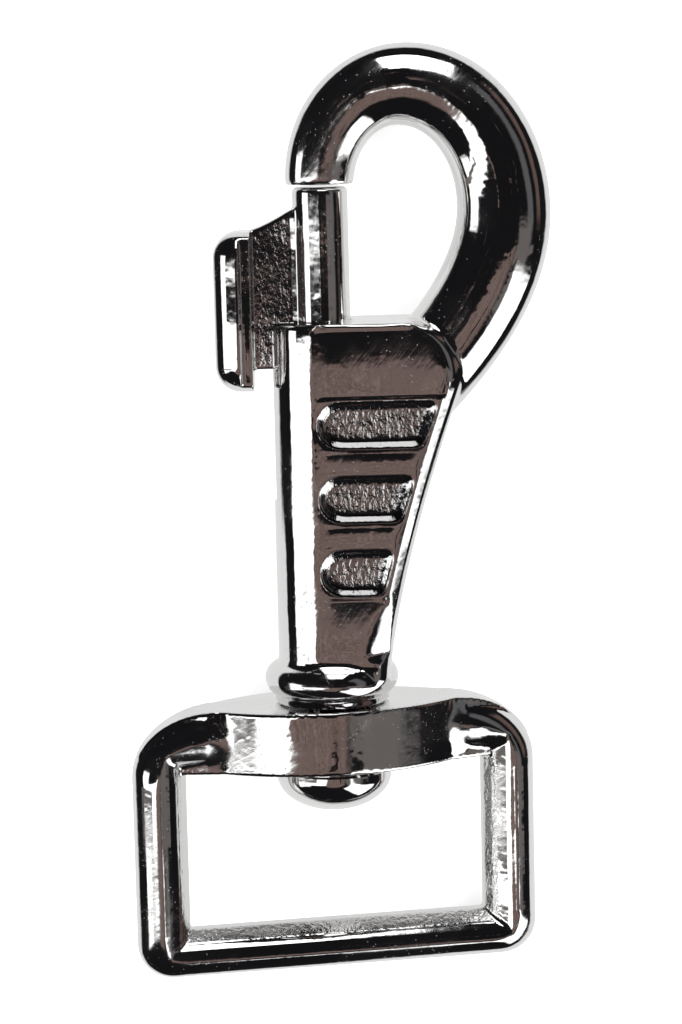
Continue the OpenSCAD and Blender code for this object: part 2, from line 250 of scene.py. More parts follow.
# The bent bar of the hook: a path with the width as its radius, swept with a squarish oval
def addHookBar():
    s = hookSizes
    k = s["handle"]
    tip, top = height["tip"], height["bodyTop"]
    archY = top + s["archHeight"] + s["archWidth"] / 2
    widestX = s["boltRadius"] + s["eyeWidth"] + s["sideWidth"] / 2
    widestY = top + s["widestHeight"]
    rootX, rootY = bodySizes["shoulder"] - s["rootIn"], top - s["rootDrop"]
    archX, lead, end = s["archX"], s["rootLead"], s["rootEnd"]
    # each row: the spot, the handle before it, the handle after it, and the bar's width there
    points = [
        ((0, tip), (0, tip - s["tipLead"]), (0, between(tip, archY, k)), s["tipWidth"]),
        ((archX, archY), (archX * (1 - k), archY), (between(archX, widestX, k), archY), s["archWidth"]),
        ((widestX, widestY), (widestX, between(widestY, archY, k)), (widestX, widestY - s["widestLead"]),
         s["sideWidth"]),
        ((rootX, rootY), (rootX + lead, rootY + lead), (rootX - end, rootY - end), s["rootWidth"]),
    ]
    deselectAll()
    bpy.ops.curve.primitive_bezier_circle_add(radius=1)
    section = named("hookSection")
    section.data.dimensions = "2D"
    section.data.resolution_u = 16
    for point in section.data.splines[0].bezier_points:
        point.handle_left_type = point.handle_right_type = "FREE"
        for side in ("handle_left", "handle_right"):
            reach = (getattr(point, side) - point.co) * s["sectionHandle"] / s["circleHandle"]
            setattr(point, side, point.co + reach)
    for point in section.data.splines[0].bezier_points:
        for part in ("handle_left", "handle_right", "co"):
            spot = getattr(point, part).copy()
            spot.y *= s["depthShare"]
            setattr(point, part, spot)
    deselectAll()
    bpy.ops.curve.primitive_bezier_curve_add(location=(0, 0, 0))
    bar = named("hookBar")
    path = bar.data
    path.dimensions = "3D"
    path.twist_mode = "Z_UP"
    path.resolution_u = 48
    path.splines[0].radius_interpolation = "CARDINAL"
    path.splines[0].bezier_points.add(len(points) - 2)
    for point, (spot, before, after, width) in zip(path.splines[0].bezier_points, points):
        point.handle_left_type = point.handle_right_type = "FREE"
        point.co = (*spot, 0)
        point.handle_left = (*before, 0)
        point.handle_right = (*after, 0)
        point.radius = width / 2
    path.bevel_mode = "OBJECT"
    path.bevel_object = section
    path.use_fill_caps = True
    pick(bar)
    bpy.ops.object.convert(target="MESH")
    bpy.data.objects.remove(section, do_unlink=True)
    bpy.ops.object.mode_set(mode="EDIT")
    bpy.ops.mesh.select_all(action="SELECT")
    bpy.ops.mesh.remove_doubles(threshold=touching)
    bpy.ops.mesh.normals_make_consistent(inside=False)
    leaveEdit()
    return bar


# The body's right side at height y: it flares, then rounds over into the top face
def flareX(y):
    s = bodySizes
    run = (y - collarHeight) / (height["bodyTop"] - collarHeight)
    return s["waist"] + (s["shoulder"] - s["waist"]) * max(0, run) ** s["flare"]


shoulderStart = height["bodyTop"] - bodySizes["shoulderDrop"]
shoulderTilt = math.atan((flareX(shoulderStart + level) - flareX(shoulderStart - level)) / (2 * level))
shoulderRadius = bodySizes["shoulderDrop"] / (1 + math.sin(shoulderTilt))
shoulderCentre = (flareX(shoulderStart) - shoulderRadius * math.cos(shoulderTilt),
                  height["bodyTop"] - shoulderRadius)


def sideX(y):
    if y < shoulderStart:
        return flareX(y)
    rise = min(shoulderRadius, y - shoulderCentre[1])
    return shoulderCentre[0] + math.sqrt(max(0, shoulderRadius ** 2 - rise ** 2))


# The flat panel: a block cut across at many heights, its right side pulled out to the flare
def addPanel():
    s = bodySizes
    low, top = collarHeight, height["bodyTop"]
    left = s["barrelRound"] - s["barrelSide"]
    panel = addBlock("bodyPanel", (left, low, -s["depth"] / 2), (s["waist"], top, s["depth"] / 2))
    flareCuts, roundCuts = 24, 16
    selectEdges(panel, lambda a, b: abs(a.y - b.y) > 0.01)
    bpy.ops.mesh.subdivide(number_cuts=flareCuts + roundCuts - 1)
    leaveEdit()
    levels = [between(low, shoulderStart, i / flareCuts) for i in range(flareCuts)]
    for i in range(roundCuts + 1):
        turn = between(-shoulderTilt, math.pi / 2, i / roundCuts)
        levels.append(shoulderCentre[1] + shoulderRadius * math.sin(turn))
    for v in panel.data.vertices:
        step = round((v.co.y - low) / (top - low) * (flareCuts + roundCuts))
        v.co.y = levels[step]
        if v.co.x > left + apart:
            v.co.x = sideX(v.co.y)

    def onRightSide(a, b):
        return (min(a.x, b.x) > left + apart and abs(a.z - b.z) < level
                and min(a.y, b.y) < top - 5 * touching)

    bevelEdges(panel, onRightSide, s["edgeRound"], 8)
    return panel


def addFoot():
    s = bodySizes
    foot = addRod("foot", s["footRadius"], height["foot"], collarHeight + apart)
    ring = s["collarRadius"] - s["collarBead"]
    deselectAll()
    bpy.ops.mesh.primitive_torus_add(major_radius=ring, minor_radius=s["collarBead"],
                                     major_segments=96, minor_segments=40,
                                     location=(0, collarHeight, 0), rotation=(math.pi / 2, 0, 0))
    bead = settle(named("collarBead"))
    reach = s["collarBead"] * 0.98
    core = addRod("collarCore", ring, collarHeight - reach, collarHeight + reach)
    return joinPieces(foot, bead, core)


def pocketMiddle(index):
    return height["bodyTop"] - pocketSizes["fromTop"] - index * pocketSizes["pitch"]


def addPocketCutter(index, face):
    s = pocketSizes
    middle, half = pocketMiddle(index), s["height"] / 2
    floor = bodySizes["depth"] / 2 - s["deep"]
    rimTop, rimLow = sideX(middle + half) - s["rim"], sideX(middle - half) - s["rim"]
    cutter = addBlock("pocketCutter", (s["left"], middle - half, floor),
                      (rimTop, middle + half, floor + s["deep"] * 2))
    for v in cutter.data.vertices:
        if v.co.x > apart:
            v.co.x = rimTop if v.co.y > middle else rimLow
    bevelEdges(cutter, lambda a, b: max(a.x, b.x) < apart and abs(a.z - b.z) > level, half * 0.98, 10)
    for v in cutter.data.vertices:     # the walls slope: in at the floor, out above the face
        inward = s["slope"] if v.co.z < floor + touching else -s["slope"]
        v.co.y -= inward * max(-1, min(1, (v.co.y - middle) / half))
        v.co.x += inward if v.co.x < s["left"] + half else -inward
    if face < 0:
        cutter.scale.z = -1
        settle(cutter)
        faceOut(cutter)
    return cutter


# The flat parts of the panel, above, between and below the pockets, are each slightly crowned
# along the axis
def crownPanel(casting):
    s = pocketSizes
    top = height["bodyTop"]
    edges = [top - bodySizes["crownTop"]]
    for index in range(s["count"]):
        middle = pocketMiddle(index)
        edges += [middle + s["height"] / 2 + s["slope"], middle - s["height"] / 2 - s["slope"]]
    edges.append(collarHeight + bodySizes["crownLow"])
    face = bodySizes["depth"] / 2 - bodySizes["crownDepth"]
    left = s["left"]
    for v in casting.data.vertices:
        if abs(v.co.z) < face or not left < v.co.x < sideX(v.co.y):
            continue
        for high, low in zip(edges[0::2], edges[1::2]):
            if low < v.co.y < high:
                run = (v.co.y - (high + low) / 2) / (high - low) * 2
                fade = min(1, (v.co.x - left) / bodySizes["crownFade"])
                v.co.z -= math.copysign(fade * run * run * (high - low) * bodySizes["crown"], v.co.z)


# Where the flat of the panel ends and the facet along its right side starts. The facet widens
# below the last pocket.
def facetX(y):
    s = bodySizes
    start = pocketMiddle(pocketSizes["count"] - 1) - pocketSizes["height"] / 2
    spread = max(0, (start - y) / (start - collarHeight))
    return sideX(y) - between(s["facetSide"], s["facetFoot"], spread)


def cutFacet(casting):
    s = bodySizes
    high, low = height["bodyTop"] - s["facetFromTop"], collarHeight + s["collarBead"]
    face = s["depth"] / 2
    for v in casting.data.vertices:
        run = v.co.x - facetX(v.co.y)
        if run > 0 and low < v.co.y < high and abs(v.co.z) > face / 2:
            # it runs out at both ends
            fade = min(1, (high - v.co.y) / s["facetFadeTop"], (v.co.y - low) / s["facetFadeLow"])
            drop = (s["facetSlope"] * run + s["facetBow"] * run * run) * fade
            v.co.z = math.copysign(min(abs(v.co.z), face - drop), v.co.z)
    softenNear(casting, lambda co: abs(co.z) > face / 2 and low < co.y < high
               and abs(co.x - facetX(co.y)) < s["facetSoft"], 5)


def addHookCasting():
    s = bodySizes
    low, top, half = collarHeight, height["bodyTop"], s["depth"] / 2
    left = s["barrelRound"] - s["barrelSide"]
    casting = addRod("hookCasting", half, low, top, 128, left, s["barrelRound"] / half)
    cutWith(casting, addPanel(), "UNION")
    bevelEdges(casting, lambda a, b: min(a.y, b.y) > top - touching, s["topBevel"], 3)
    for index in range(pocketSizes["count"]):
        for face in (1, -1):
            cutWith(casting, addPocketCutter(index, face))
    cutWith(casting, addRod("bore", s["boreRadius"], height["rivetEnd"], top + apart, 64))
    cutWith(casting, addBlock("slot", (-0.01, s["slotLow"], -s["slotHalf"]), (0, top + apart, s["slotHalf"])))
    joinPieces(casting, addHookBar(), addFoot())
    castSkin(casting, s["voxel"], s["smoothing"])
    p = pocketSizes
    softenNear(casting, lambda co: abs(co.z) > p["softDepth"] and p["softLeft"] < co.x < p["softRight"]
               and top - p["softLow"] < co.y < top - p["softHigh"], p["softRounds"])
    crownPanel(casting)
    cutFacet(casting)
    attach(casting, "hook")
    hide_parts("hook_body")
    return casting


hookCasting = addHookCasting()
print("hook casting done")


boltSizes = {
    "rodRadius": 0.00235, "rodBevel": 0.0004, "tail": 0.0024, "finThickness": 0.0023, "finStart": 0.0018,
    "finDrop": 0.0018, "thumbX": 0.00915, "thumbWidth": 0.0032, "thumbLength": 0.0135, "thumbDepth": 0.0068,
    "thumbRound": 0.0019, "thumbEnd": 0.0022, "thumbHang": 0.0018, "ledgeWidth": 0.0010, "ledgeDrop": 0.0006,
    "finInside": 0.0006, "scoopOver": 0.00015, "voxel": 0.00012, "smoothing": 5,
    "filletIn": 0.0001, "filletWidth": 0.0007, "filletDepth": 0.0022, "filletDrop": 0.0004,
    "filletRounds": 25,
}


def addBolt():
    s = boltSizes
    top = height["boltTop"]
    finTop = top - s["finStart"]
    thumbTop = finTop - s["finDrop"]
    thumbLow = thumbTop - s["thumbLength"]
    finLow = thumbLow + s["thumbHang"]
    bolt = addRod("slidingBolt", s["rodRadius"], finLow - s["tail"], top, 96)
    bevelEdges(bolt, lambda a, b: min(a.y, b.y) > top - touching, s["rodBevel"], 3)
    # the fin, its top edge scooped
    inner, outer = -s["rodRadius"] + s["finInside"], s["thumbWidth"] / 2 - s["thumbX"]
    half = s["finThickness"] / 2
    fin = addBlock("fin", (outer, finLow, -half), (inner, finTop, half))
    selectEdges(fin, lambda a, b: abs(a.x - b.x) > apart)
    bpy.ops.mesh.subdivide(number_cuts=15)
    leaveEdit()
    for v in fin.data.vertices:
        if v.co.y > finLow + apart:
            run = min(1, max(0, (-s["rodRadius"] - v.co.x) / (-s["rodRadius"] - outer)))
            v.co.y = finTop - (s["finDrop"] + s["scoopOver"]) * math.sin(run * math.pi / 2)
    # the thumb bar, round outside, with a ledge beside the fin
    left, right = -s["thumbX"], s["thumbWidth"] - s["thumbX"]
    depth = s["thumbDepth"] / 2
    thumb = addBlock("thumbBar", (left, thumbLow, -depth), (right, thumbTop, depth))
    bevelEdges(thumb, lambda a, b: max(a.x, b.x) < left + level and abs(a.z - b.z) > apart, s["thumbEnd"], 10)
    bevelEdges(thumb, lambda a, b: abs(abs(a.z) - depth) < touching and abs(a.z - b.z) < touching
               and min(a.x, b.x) < right - level, s["thumbRound"], 8)
    for side in (1, -1):
        cutter = addBlock("ledge", (right - s["ledgeWidth"], thumbLow - apart, depth - s["ledgeDrop"]),
                          (right + apart, thumbTop + apart, depth + apart))
        cutter.scale.z = side
        settle(cutter)
        faceOut(cutter)
        cutWith(thumb, cutter)
    joinPieces(bolt, fin, thumb)
    castSkin(bolt, s["voxel"], s["smoothing"])
    softenNear(bolt, lambda co: abs(co.x + s["rodRadius"] - s["filletIn"]) < s["filletWidth"]
               and abs(co.z) < s["filletDepth"] and co.y < finTop - s["filletDrop"], s["filletRounds"])
    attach(bolt, "sliding_bolt")
    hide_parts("bolt")
    return bolt


slidingBolt = addBolt()
print("bolt done")


loopSizes = {
    "openingWidth": 0.026, "openingHeight": 0.0139, "sideBar": 0.0046, "baseBar": 0.0042,
    "crossbar": crossbar,
    "depth": 0.0054, "land": 0.0010, "crownShare": 0.46, "roughShare": 0.23,
    "shoulderX": 0.0073, "shoulderY": 0.0058, "baseRound": 0.0030, "holeRadius": 0.00258, "turn": 10.6,
    "bossDepth": 0.0114, "bossLength": 0.0196, "bossBar": 0.46, "bossUnder": 0.00005, "bossEndRound": 0.0015,
    "bossEndIn": 0.0005, "bossEndShare": 0.25, "voxel": 0.000158, "smoothing": 4,
    "softIn": 0.0006, "softWidth": 0.0022, "softEdge": 0.0004, "softDepth": 0.0018, "softRounds": 120,
    # the bevel round the opening: half depth, and the shares of the bars that are left across and along
    "bevel": ((0.00135, 0.88, 0.88), (0.00200, 0.755, 0.78), (0.00240, 0.63, 0.70), (0.00257, 0.54, 0.57)),
}


# The loop's outer outline as a flat face, its corners rounded
def addLoopOutline(name):
    s = loopSizes
    half = s["openingWidth"] / 2 + s["sideBar"]
    low, top = -s["baseBar"], height["crossbarTop"]
    deselectAll()
    bpy.ops.mesh.primitive_plane_add(size=1, location=(0, (low + top) / 2, 0))
    outline = named(name)
    outline.scale = (half * 2, top - low, 1)
    settle(outline)
    for corner, radius, segments in ((top, s["shoulderX"], 20), (low, s["baseRound"], 12)):
        edit(outline, "VERT")
        mesh = bmesh.from_edit_mesh(outline.data)
        for v in mesh.verts:
            v.select = abs(v.co.y - corner) < touching
        bmesh.update_edit_mesh(outline.data)
        bpy.ops.mesh.bevel(offset=radius, segments=segments, affect="VERTICES", clamp_overlap=False)
        leaveEdit()
    # the top corners sweep further across than down
    for v in outline.data.vertices:
        drop = top - v.co.y
        if drop < s["shoulderX"] + touching:
            v.co.y = top - drop * s["shoulderY"] / s["shoulderX"]
    return outline


# Steps of extrusion: each step goes up in z and draws the outline in
def stepUp(piece, steps, centre):
    edit(piece, "FACE", "SELECT")
    z, size = 0.0, Vector((1, 1))
    for rise, scaleX, scaleY in steps:
        bpy.ops.mesh.extrude_region_move(TRANSFORM_OT_translate={"value": (0, 0, rise - z)})
        bpy.ops.transform.resize(value=(scaleX / size.x, scaleY / size.y, 1), center_override=centre)
        z, size = rise, Vector((scaleX, scaleY))
    leaveEdit()


# The lowest face lies on the mirror plane, so it comes off first
def mirrorDown(piece):
    selectFaces(piece, lambda co: abs(co.z) < touching / 10)
    bpy.ops.mesh.delete(type="ONLY_FACE")
    leaveEdit()
    mirror = piece.modifiers.new("Mirror", "MIRROR")
    mirror.use_axis = (False, False, True)
    mirror.use_clip = True
    mirror.merge_threshold = touching
    bpy.ops.object.modifier_apply(modifier=mirror.name)
    faceOut(piece)


def addLoopBlank():
    s = loopSizes
    half = s["openingWidth"] / 2 + s["sideBar"]
    low, top = -s["baseBar"], height["crossbarTop"]
    middle = (low + top) / 2
    blank = addLoopOutline("strapLoop")
    steps = []
    count = 12
    for i in range(1, count + 1):
        turn = math.pi / 2 * i / count
        drawX = s["crownShare"] * s["sideBar"] * (1 - math.cos(turn))
        drawY = s["crownShare"] * (s["baseBar"] + s["crossbar"]) / 2 * (1 - math.cos(turn))
        steps.append((s["depth"] / 2 * math.sin(turn), 1 - drawX / half, 1 - drawY / (top - middle)))
    stepUp(blank, steps, (0, middle, 0))
    mirrorDown(blank)
    return blank


# The opening: a flat land, a drafted wall and a bevel that runs out on the face
def addOpeningCutter():
    s = loopSizes
    halfX, halfY = s["openingWidth"] / 2, s["openingHeight"] / 2
    deselectAll()
    bpy.ops.mesh.primitive_plane_add(size=1, location=(0, halfY, 0))
    cutter = named("opening")
    cutter.scale = (halfX * 2, halfY * 2, 1)
    settle(cutter)
    depth = s["depth"] / 2
    crown = s["crownShare"]
    spots = [(s["land"] / 2, 1.0, 1.0), *s["bevel"], (depth - 0.00006, crown, crown),
             (depth + apart, crown - 0.03, crown - 0.03)]
    steps = []
    for rise, shareX, shareY in spots:
        growX = s["sideBar"] * (1 - shareX)
        growY = (s["baseBar"] + s["crossbar"]) / 2 * (1 - shareY)
        steps.append((rise, 1 + growX / halfX, 1 + growY / halfY))
    stepUp(cutter, steps, (0, halfY, 0))
    mirrorDown(cutter)
    return cutter


# The boss: two big rounds crossing in a lens, and ends that taper to the corners
def addBoss():
    s = loopSizes
    chord, bar = s["bossLength"] / 2, s["depth"] * s["bossBar"]
    rise = s["bossDepth"] / 2 - bar
    radius = (chord ** 2 + rise ** 2) / (2 * rise)
    low, top = height["opening"] - s["bossUnder"], height["crossbarTop"]
    boss = addRod("boss", radius, low, top, 256)
    other = addRod("bossBack", radius, low, top, 256)
    for piece, side in ((boss, 1), (other, -1)):
        piece.location.z = side * (s["bossDepth"] / 2 - radius)
        settle(piece)
    cutWith(boss, other, "INTERSECT")
    block = addBlock("bossEnds", (-chord, low, -bar), (chord, top, bar))
    ends = s["openingWidth"] / 2 + s["sideBar"] - s["bossEndIn"]
    for side in (1, -1):
        selectFaces(block, lambda co: co.x * side > chord - touching)
        bpy.ops.mesh.extrude_region_move(TRANSFORM_OT_translate={"value": (side * (ends - chord), 0, 0)})
        bpy.ops.transform.resize(value=(1, 1, s["bossEndShare"]), center_override=(0, 0, 0))
        leaveEdit()
    bevelEdges(block, lambda a, b: abs(abs(a.x) - chord) < touching and abs(abs(b.x) - chord) < touching
               and abs(a.y - b.y) > apart, s["bossEndRound"], 4)
    cutWith(boss, block, "UNION")
    # nothing of it passes the loop's own outline
    plate = addLoopOutline("outlinePlate")
    stepUp(plate, [(0.02, 1, 1)], (0, 0, 0))
    plate.location.z = -0.01
    settle(plate)
    faceOut(plate)
    cutWith(boss, plate, "INTERSECT")
    return boss


def addStrapLoop():
    s = loopSizes
    loop = addLoopBlank()
    cutWith(loop, addOpeningCutter())
    cutWith(loop, addBoss(), "UNION")
    low, top = height["opening"], height["crossbarTop"]
    cutWith(loop, addRod("swivelHole", s["holeRadius"], low - apart, top + apart, 64))
    castSkin(loop, s["voxel"], s["smoothing"])
    middle = s["bossLength"] / 2 - s["softIn"]
    softenNear(loop, lambda co: abs(abs(co.x) - middle) < s["softWidth"] and abs(co.z) > s["softDepth"]
               and low + s["softEdge"] < co.y < top - s["softEdge"], s["softRounds"])
    loop.rotation_euler.y = math.radians(s["turn"])
    settle(loop)
    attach(loop, "loop")
    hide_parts("strap_loop")
    return loop


strapLoop = addStrapLoop()
print("strap loop done")


rivetSizes = {
    "headRadius": 0.00495, "headHeight": 0.0040, "rim": 0.0009, "edge": 0.0004, "shankRadius": 0.0025,
    "play": 0.0001, "domeSteps": 24,
}


# Half a section of the rivet, spun about the swivel axis
def addRivet():
    s = rivetSizes
    seat = height["opening"] - s["play"]
    dome = s["headHeight"] - s["rim"]
    outline = [(0, height["rivetEnd"]), (s["shankRadius"], height["rivetEnd"]), (s["shankRadius"], seat),
               (s["headRadius"] - s["edge"], seat), (s["headRadius"], seat - s["edge"])]
    for i in range(s["domeSteps"] + 1):
        turn = math.pi / 2 * i / s["domeSteps"]
        outline.append((s["headRadius"] * math.cos(turn), seat - s["rim"] - dome * math.sin(turn)))
    outline[-1] = (0, outline[-1][1])
    deselectAll()
    bpy.ops.mesh.primitive_plane_add(size=0.001)
    rivet = named("swivelRivet")
    bpy.ops.object.mode_set(mode="EDIT")
    mesh = bmesh.from_edit_mesh(rivet.data)
    bmesh.ops.delete(mesh, geom=mesh.verts[:], context="VERTS")
    spots = [mesh.verts.new((x, y, 0)) for x, y in outline]
    for a, b in zip(spots, spots[1:]):
        mesh.edges.new((a, b)).select = True
    bmesh.update_edit_mesh(rivet.data)
    bpy.ops.mesh.select_all(action="SELECT")
    bpy.ops.mesh.spin(steps=96, angle=math.tau, center=(0, 0, 0), axis=(0, 1, 0))
    bpy.ops.mesh.select_all(action="SELECT")
    bpy.ops.mesh.remove_doubles(threshold=touching / 2)
    bpy.ops.mesh.normals_make_consistent(inside=False)
    leaveEdit()
    pick(rivet)
    bpy.ops.object.shade_smooth_by_angle(angle=math.radians(40))
    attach(rivet, "hook")
    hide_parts("swivel_rivet")
    return rivet


swivelRivet = addRivet()
print("rivet done")


springSizes = {
    "low": 0.0264, "high": 0.0458, "radius": 0.001875, "wire": 0.00055, "turns": 11, "perTurn": 8,
    "travel": 0.011,
}


# The coil under the rod, drawn at rest. In the real hook it is pressed together as the bolt slides back.
def addSpring():
    s = springSizes
    low, high = s["low"] + s["wire"] / 2, s["high"] - s["wire"] / 2
    deselectAll()
    bpy.ops.curve.primitive_bezier_curve_add(location=(0, 0, 0))
    spring = named("boltSpring")
    wire = spring.data
    wire.dimensions = "3D"
    wire.bevel_depth = s["wire"] / 2
    wire.bevel_resolution = 5
    wire.resolution_u = 5
    wire.use_fill_caps = True
    count = s["turns"] * s["perTurn"] + 1
    wire.splines[0].bezier_points.add(count - 2)
    for i, point in enumerate(wire.splines[0].bezier_points):
        turn = math.tau * i / s["perTurn"]
        rise = between(low, high, i / (count - 1))
        point.co = (s["radius"] * math.cos(turn), rise, s["radius"] * math.sin(turn))
        point.handle_left_type = point.handle_right_type = "AUTO"
    pick(spring)
    bpy.ops.object.convert(target="MESH")
    faceOut(spring)
    bpy.ops.object.shade_smooth()
    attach(spring, "hook")
    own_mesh(spring)
    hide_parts("bolt_spring")
    return spring


boltSpring = addSpring()
print("spring done")


# A value given to a node is a plain number, a colour or another node's output
def plug(tree, value, socket):
    if isinstance(value, (int, float)):
        socket.default_value = value
    elif isinstance(value, tuple):
        socket.default_value = (*value, 1) if len(socket.default_value) == 4 else value
    else:
        tree.links.new(value, socket)


def addNode(tree, kind, **inputs):
    node = tree.nodes.new(kind)
    for key, value in inputs.items():
        plug(tree, value, node.inputs[key.replace("_", " ")])
    return node


def maths(tree, operation, first, second=0.0):
    node = tree.nodes.new("ShaderNodeMath")
    node.operation = operation
    plug(tree, first, node.inputs[0])
    plug(tree, second, node.inputs[1])
    return node.outputs["Value"]


def plus(tree, first, second):
    return maths(tree, "ADD", first, second)


def minus(tree, first, second):
    return maths(tree, "SUBTRACT", first, second)


def larger(tree, first, second):
    return maths(tree, "MAXIMUM", first, second)


def product(tree, first, *others):
    for other in others:
        first = maths(tree, "MULTIPLY", first, other)
    return first


def mixed(tree, factor, first, second):
    node = tree.nodes.new("ShaderNodeMix")
    node.data_type = "RGBA"
    plug(tree, factor, node.inputs["Factor"])
    plug(tree, first, node.inputs[6])
    plug(tree, second, node.inputs[7])
    return node.outputs[2]


# 0 at start and 1 at end, with a smooth rise between
def ramp(tree, value, start, end, low=0.0, high=1.0):
    node = addNode(tree, "ShaderNodeMapRange", Value=value, From_Min=start, From_Max=end,
                   To_Min=low, To_Max=high)
    node.interpolation_type = "SMOOTHSTEP"
    return node.outputs["Result"]


def band(tree, value, low, high, soft):
    start = ramp(tree, value, low - soft, low + soft)
    return product(tree, start, ramp(tree, value, high + soft, high - soft))


def noise(tree, vector, scale, detail):
    return addNode(tree, "ShaderNodeTexNoise", Vector=vector, Scale=scale, Detail=detail).outputs["Fac"]


def parts(tree, vector):
    node = addNode(tree, "ShaderNodeSeparateXYZ", Vector=vector)
    return node.outputs["X"], node.outputs["Y"], node.outputs["Z"]


def newGroup(name, inputs, outputs):
    group = bpy.data.node_groups.new(name, "ShaderNodeTree")
    for sockets, direction in ((inputs, "INPUT"), (outputs, "OUTPUT")):
        for socket, kind in sockets:
            group.interface.new_socket(name=socket, in_out=direction, socket_type="NodeSocket" + kind)
    return group, group.nodes.new("NodeGroupInput"), group.nodes.new("NodeGroupOutput")


def useGroup(tree, group, **inputs):
    node = tree.nodes.new("ShaderNodeGroup")
    node.node_tree = group
    for key, value in inputs.items():
        plug(tree, value, node.inputs[key])
    return node


def newMaterial(name):
    material = bpy.data.materials.new(name)
    material.use_nodes = True
    return material, material.node_tree, material.node_tree.nodes["Principled BSDF"]


# Plated metal: slow waves, orange peel, scratches and pits, and grain where the casting was left rough
metalSizes = {
    "waveScale": 97.0, "wave": 0.00027, "peelScale": 620.0, "peel": 0.000022,
    "grainScale": 3000.0, "grain": 0.00007, "grainStretch": 0.5,
    "scratchScale": 2600.0, "scratch": 0.0000090, "scratchStretch": 0.04,
    "patchScale": 170.0, "wornFrom": 0.42, "wornTo": 0.62, "pittedFrom": 0.49, "pittedTo": 0.57,
    "pitScale": 2400.0, "pit": 0.00002, "pitOuter": 0.13, "pitInner": 0.05,
    "polished": 0.045, "scratched": 0.15, "rough": 0.10, "pitDark": 0.55, "roughDark": 0.30, "darkest": 0.35,
}


def addMetalGroup():
    s = metalSizes
    tree, inside, outside = newGroup(
        "platedMetal", [("Rough", "Float"), ("Scratched", "Float"), ("Slant", "Float")],
        [("Height", "Float"), ("Roughness", "Float"), ("Shade", "Float")])
    coords = tree.nodes.new("ShaderNodeTexCoord").outputs["Object"]
    rough, scratched = inside.outputs["Rough"], inside.outputs["Scratched"]
    wave = noise(tree, coords, s["waveScale"], 1.0)
    peel = noise(tree, coords, s["peelScale"], 2.0)
    streaked = addNode(tree, "ShaderNodeMapping", Vector=coords, Scale=(1.0, s["grainStretch"], 1.0))
    grain = noise(tree, streaked.outputs["Vector"], s["grainScale"], 3.0)
    turned = addNode(tree, "ShaderNodeVectorRotate", Vector=coords, Angle=inside.outputs["Slant"])
    turned.rotation_type = "Z_AXIS"
    drawn = addNode(tree, "ShaderNodeMapping", Vector=turned.outputs["Vector"],
                    Scale=(1.0, s["scratchStretch"], 1.0))
    lines = noise(tree, drawn.outputs["Vector"], s["scratchScale"], 3.0)
    patches = noise(tree, coords, s["patchScale"], 3.0)
    worn = product(tree, ramp(tree, patches, s["wornFrom"], s["wornTo"]), scratched)
    cells = addNode(tree, "ShaderNodeTexVoronoi", Vector=coords, Scale=s["pitScale"]).outputs["Distance"]
    pits = product(tree, ramp(tree, cells, s["pitOuter"], s["pitInner"]),
                   ramp(tree, patches, s["pittedFrom"], s["pittedTo"]))
    relief = plus(tree, product(tree, wave, s["wave"]), product(tree, peel, s["peel"]))
    relief = plus(tree, relief, product(tree, lines, worn, s["scratch"]))
    relief = minus(tree, relief, product(tree, pits, s["pit"]))
    relief = plus(tree, relief, product(tree, grain, rough, s["grain"]))
    smooth = ramp(tree, product(tree, worn, lines), 0.0, 0.6, s["polished"], s["scratched"])
    kept = minus(tree, 1.0, rough)
    soft = plus(tree, product(tree, smooth, kept), product(tree, rough, s["rough"]))
    tree.links.new(relief, outside.inputs["Height"])
    tree.links.new(soft, outside.inputs["Roughness"])
    darker = plus(tree, product(tree, pits, s["pitDark"]), product(tree, rough, s["roughDark"]))
    tree.links.new(minus(tree, 1.0, darker), outside.inputs["Shade"])
    return tree


metalGroup = addMetalGroup()


def metalMaterial(name, colour, roughMask=None, slant=0.6, scratched=0.6, paintedShadeMask=None):
    material, tree, shader = newMaterial(name)
    shader.inputs["Metallic"].default_value = 1
    coords = tree.nodes.new("ShaderNodeTexCoord")
    rough = roughMask(tree, coords) if roughMask else 0.0
    metal = useGroup(tree, metalGroup, Rough=rough, Scratched=scratched, Slant=slant)
    dark = tuple(part * metalSizes["darkest"] for part in colour)
    shade = metal.outputs["Shade"]
    # painted shade: where the shade mask is full, the colour is darkened towards its darkest
    if paintedShadeMask:
        shade = product(tree, shade, minus(tree, 1.0, paintedShadeMask(tree, coords)))
    tree.links.new(mixed(tree, shade, dark, colour), shader.inputs["Base Color"])
    tree.links.new(metal.outputs["Roughness"], shader.inputs["Roughness"])
    bump = addNode(tree, "ShaderNodeBump", Strength=1.0, Distance=1.0, Height=metal.outputs["Height"])
    tree.links.new(bump.outputs["Normal"], shader.inputs["Normal"])
    return material


# How far the surface looks towards a point in the flat plane, 1 when straight at it
def facing(tree, coords, centreX, centreY):
    x, y = parts(tree, coords.outputs["Object"])[:2]
    toX, toY = minus(tree, centreX, x), minus(tree, centreY, y)
    away = maths(tree, "SQRT", plus(tree, product(tree, toX, toX), product(tree, toY, toY)))
    normalX, normalY = parts(tree, coords.outputs["Normal"])[:2]
    dot = plus(tree, product(tree, toX, normalX), product(tree, toY, normalY))
    return maths(tree, "DIVIDE", dot, larger(tree, away, apart / 2))
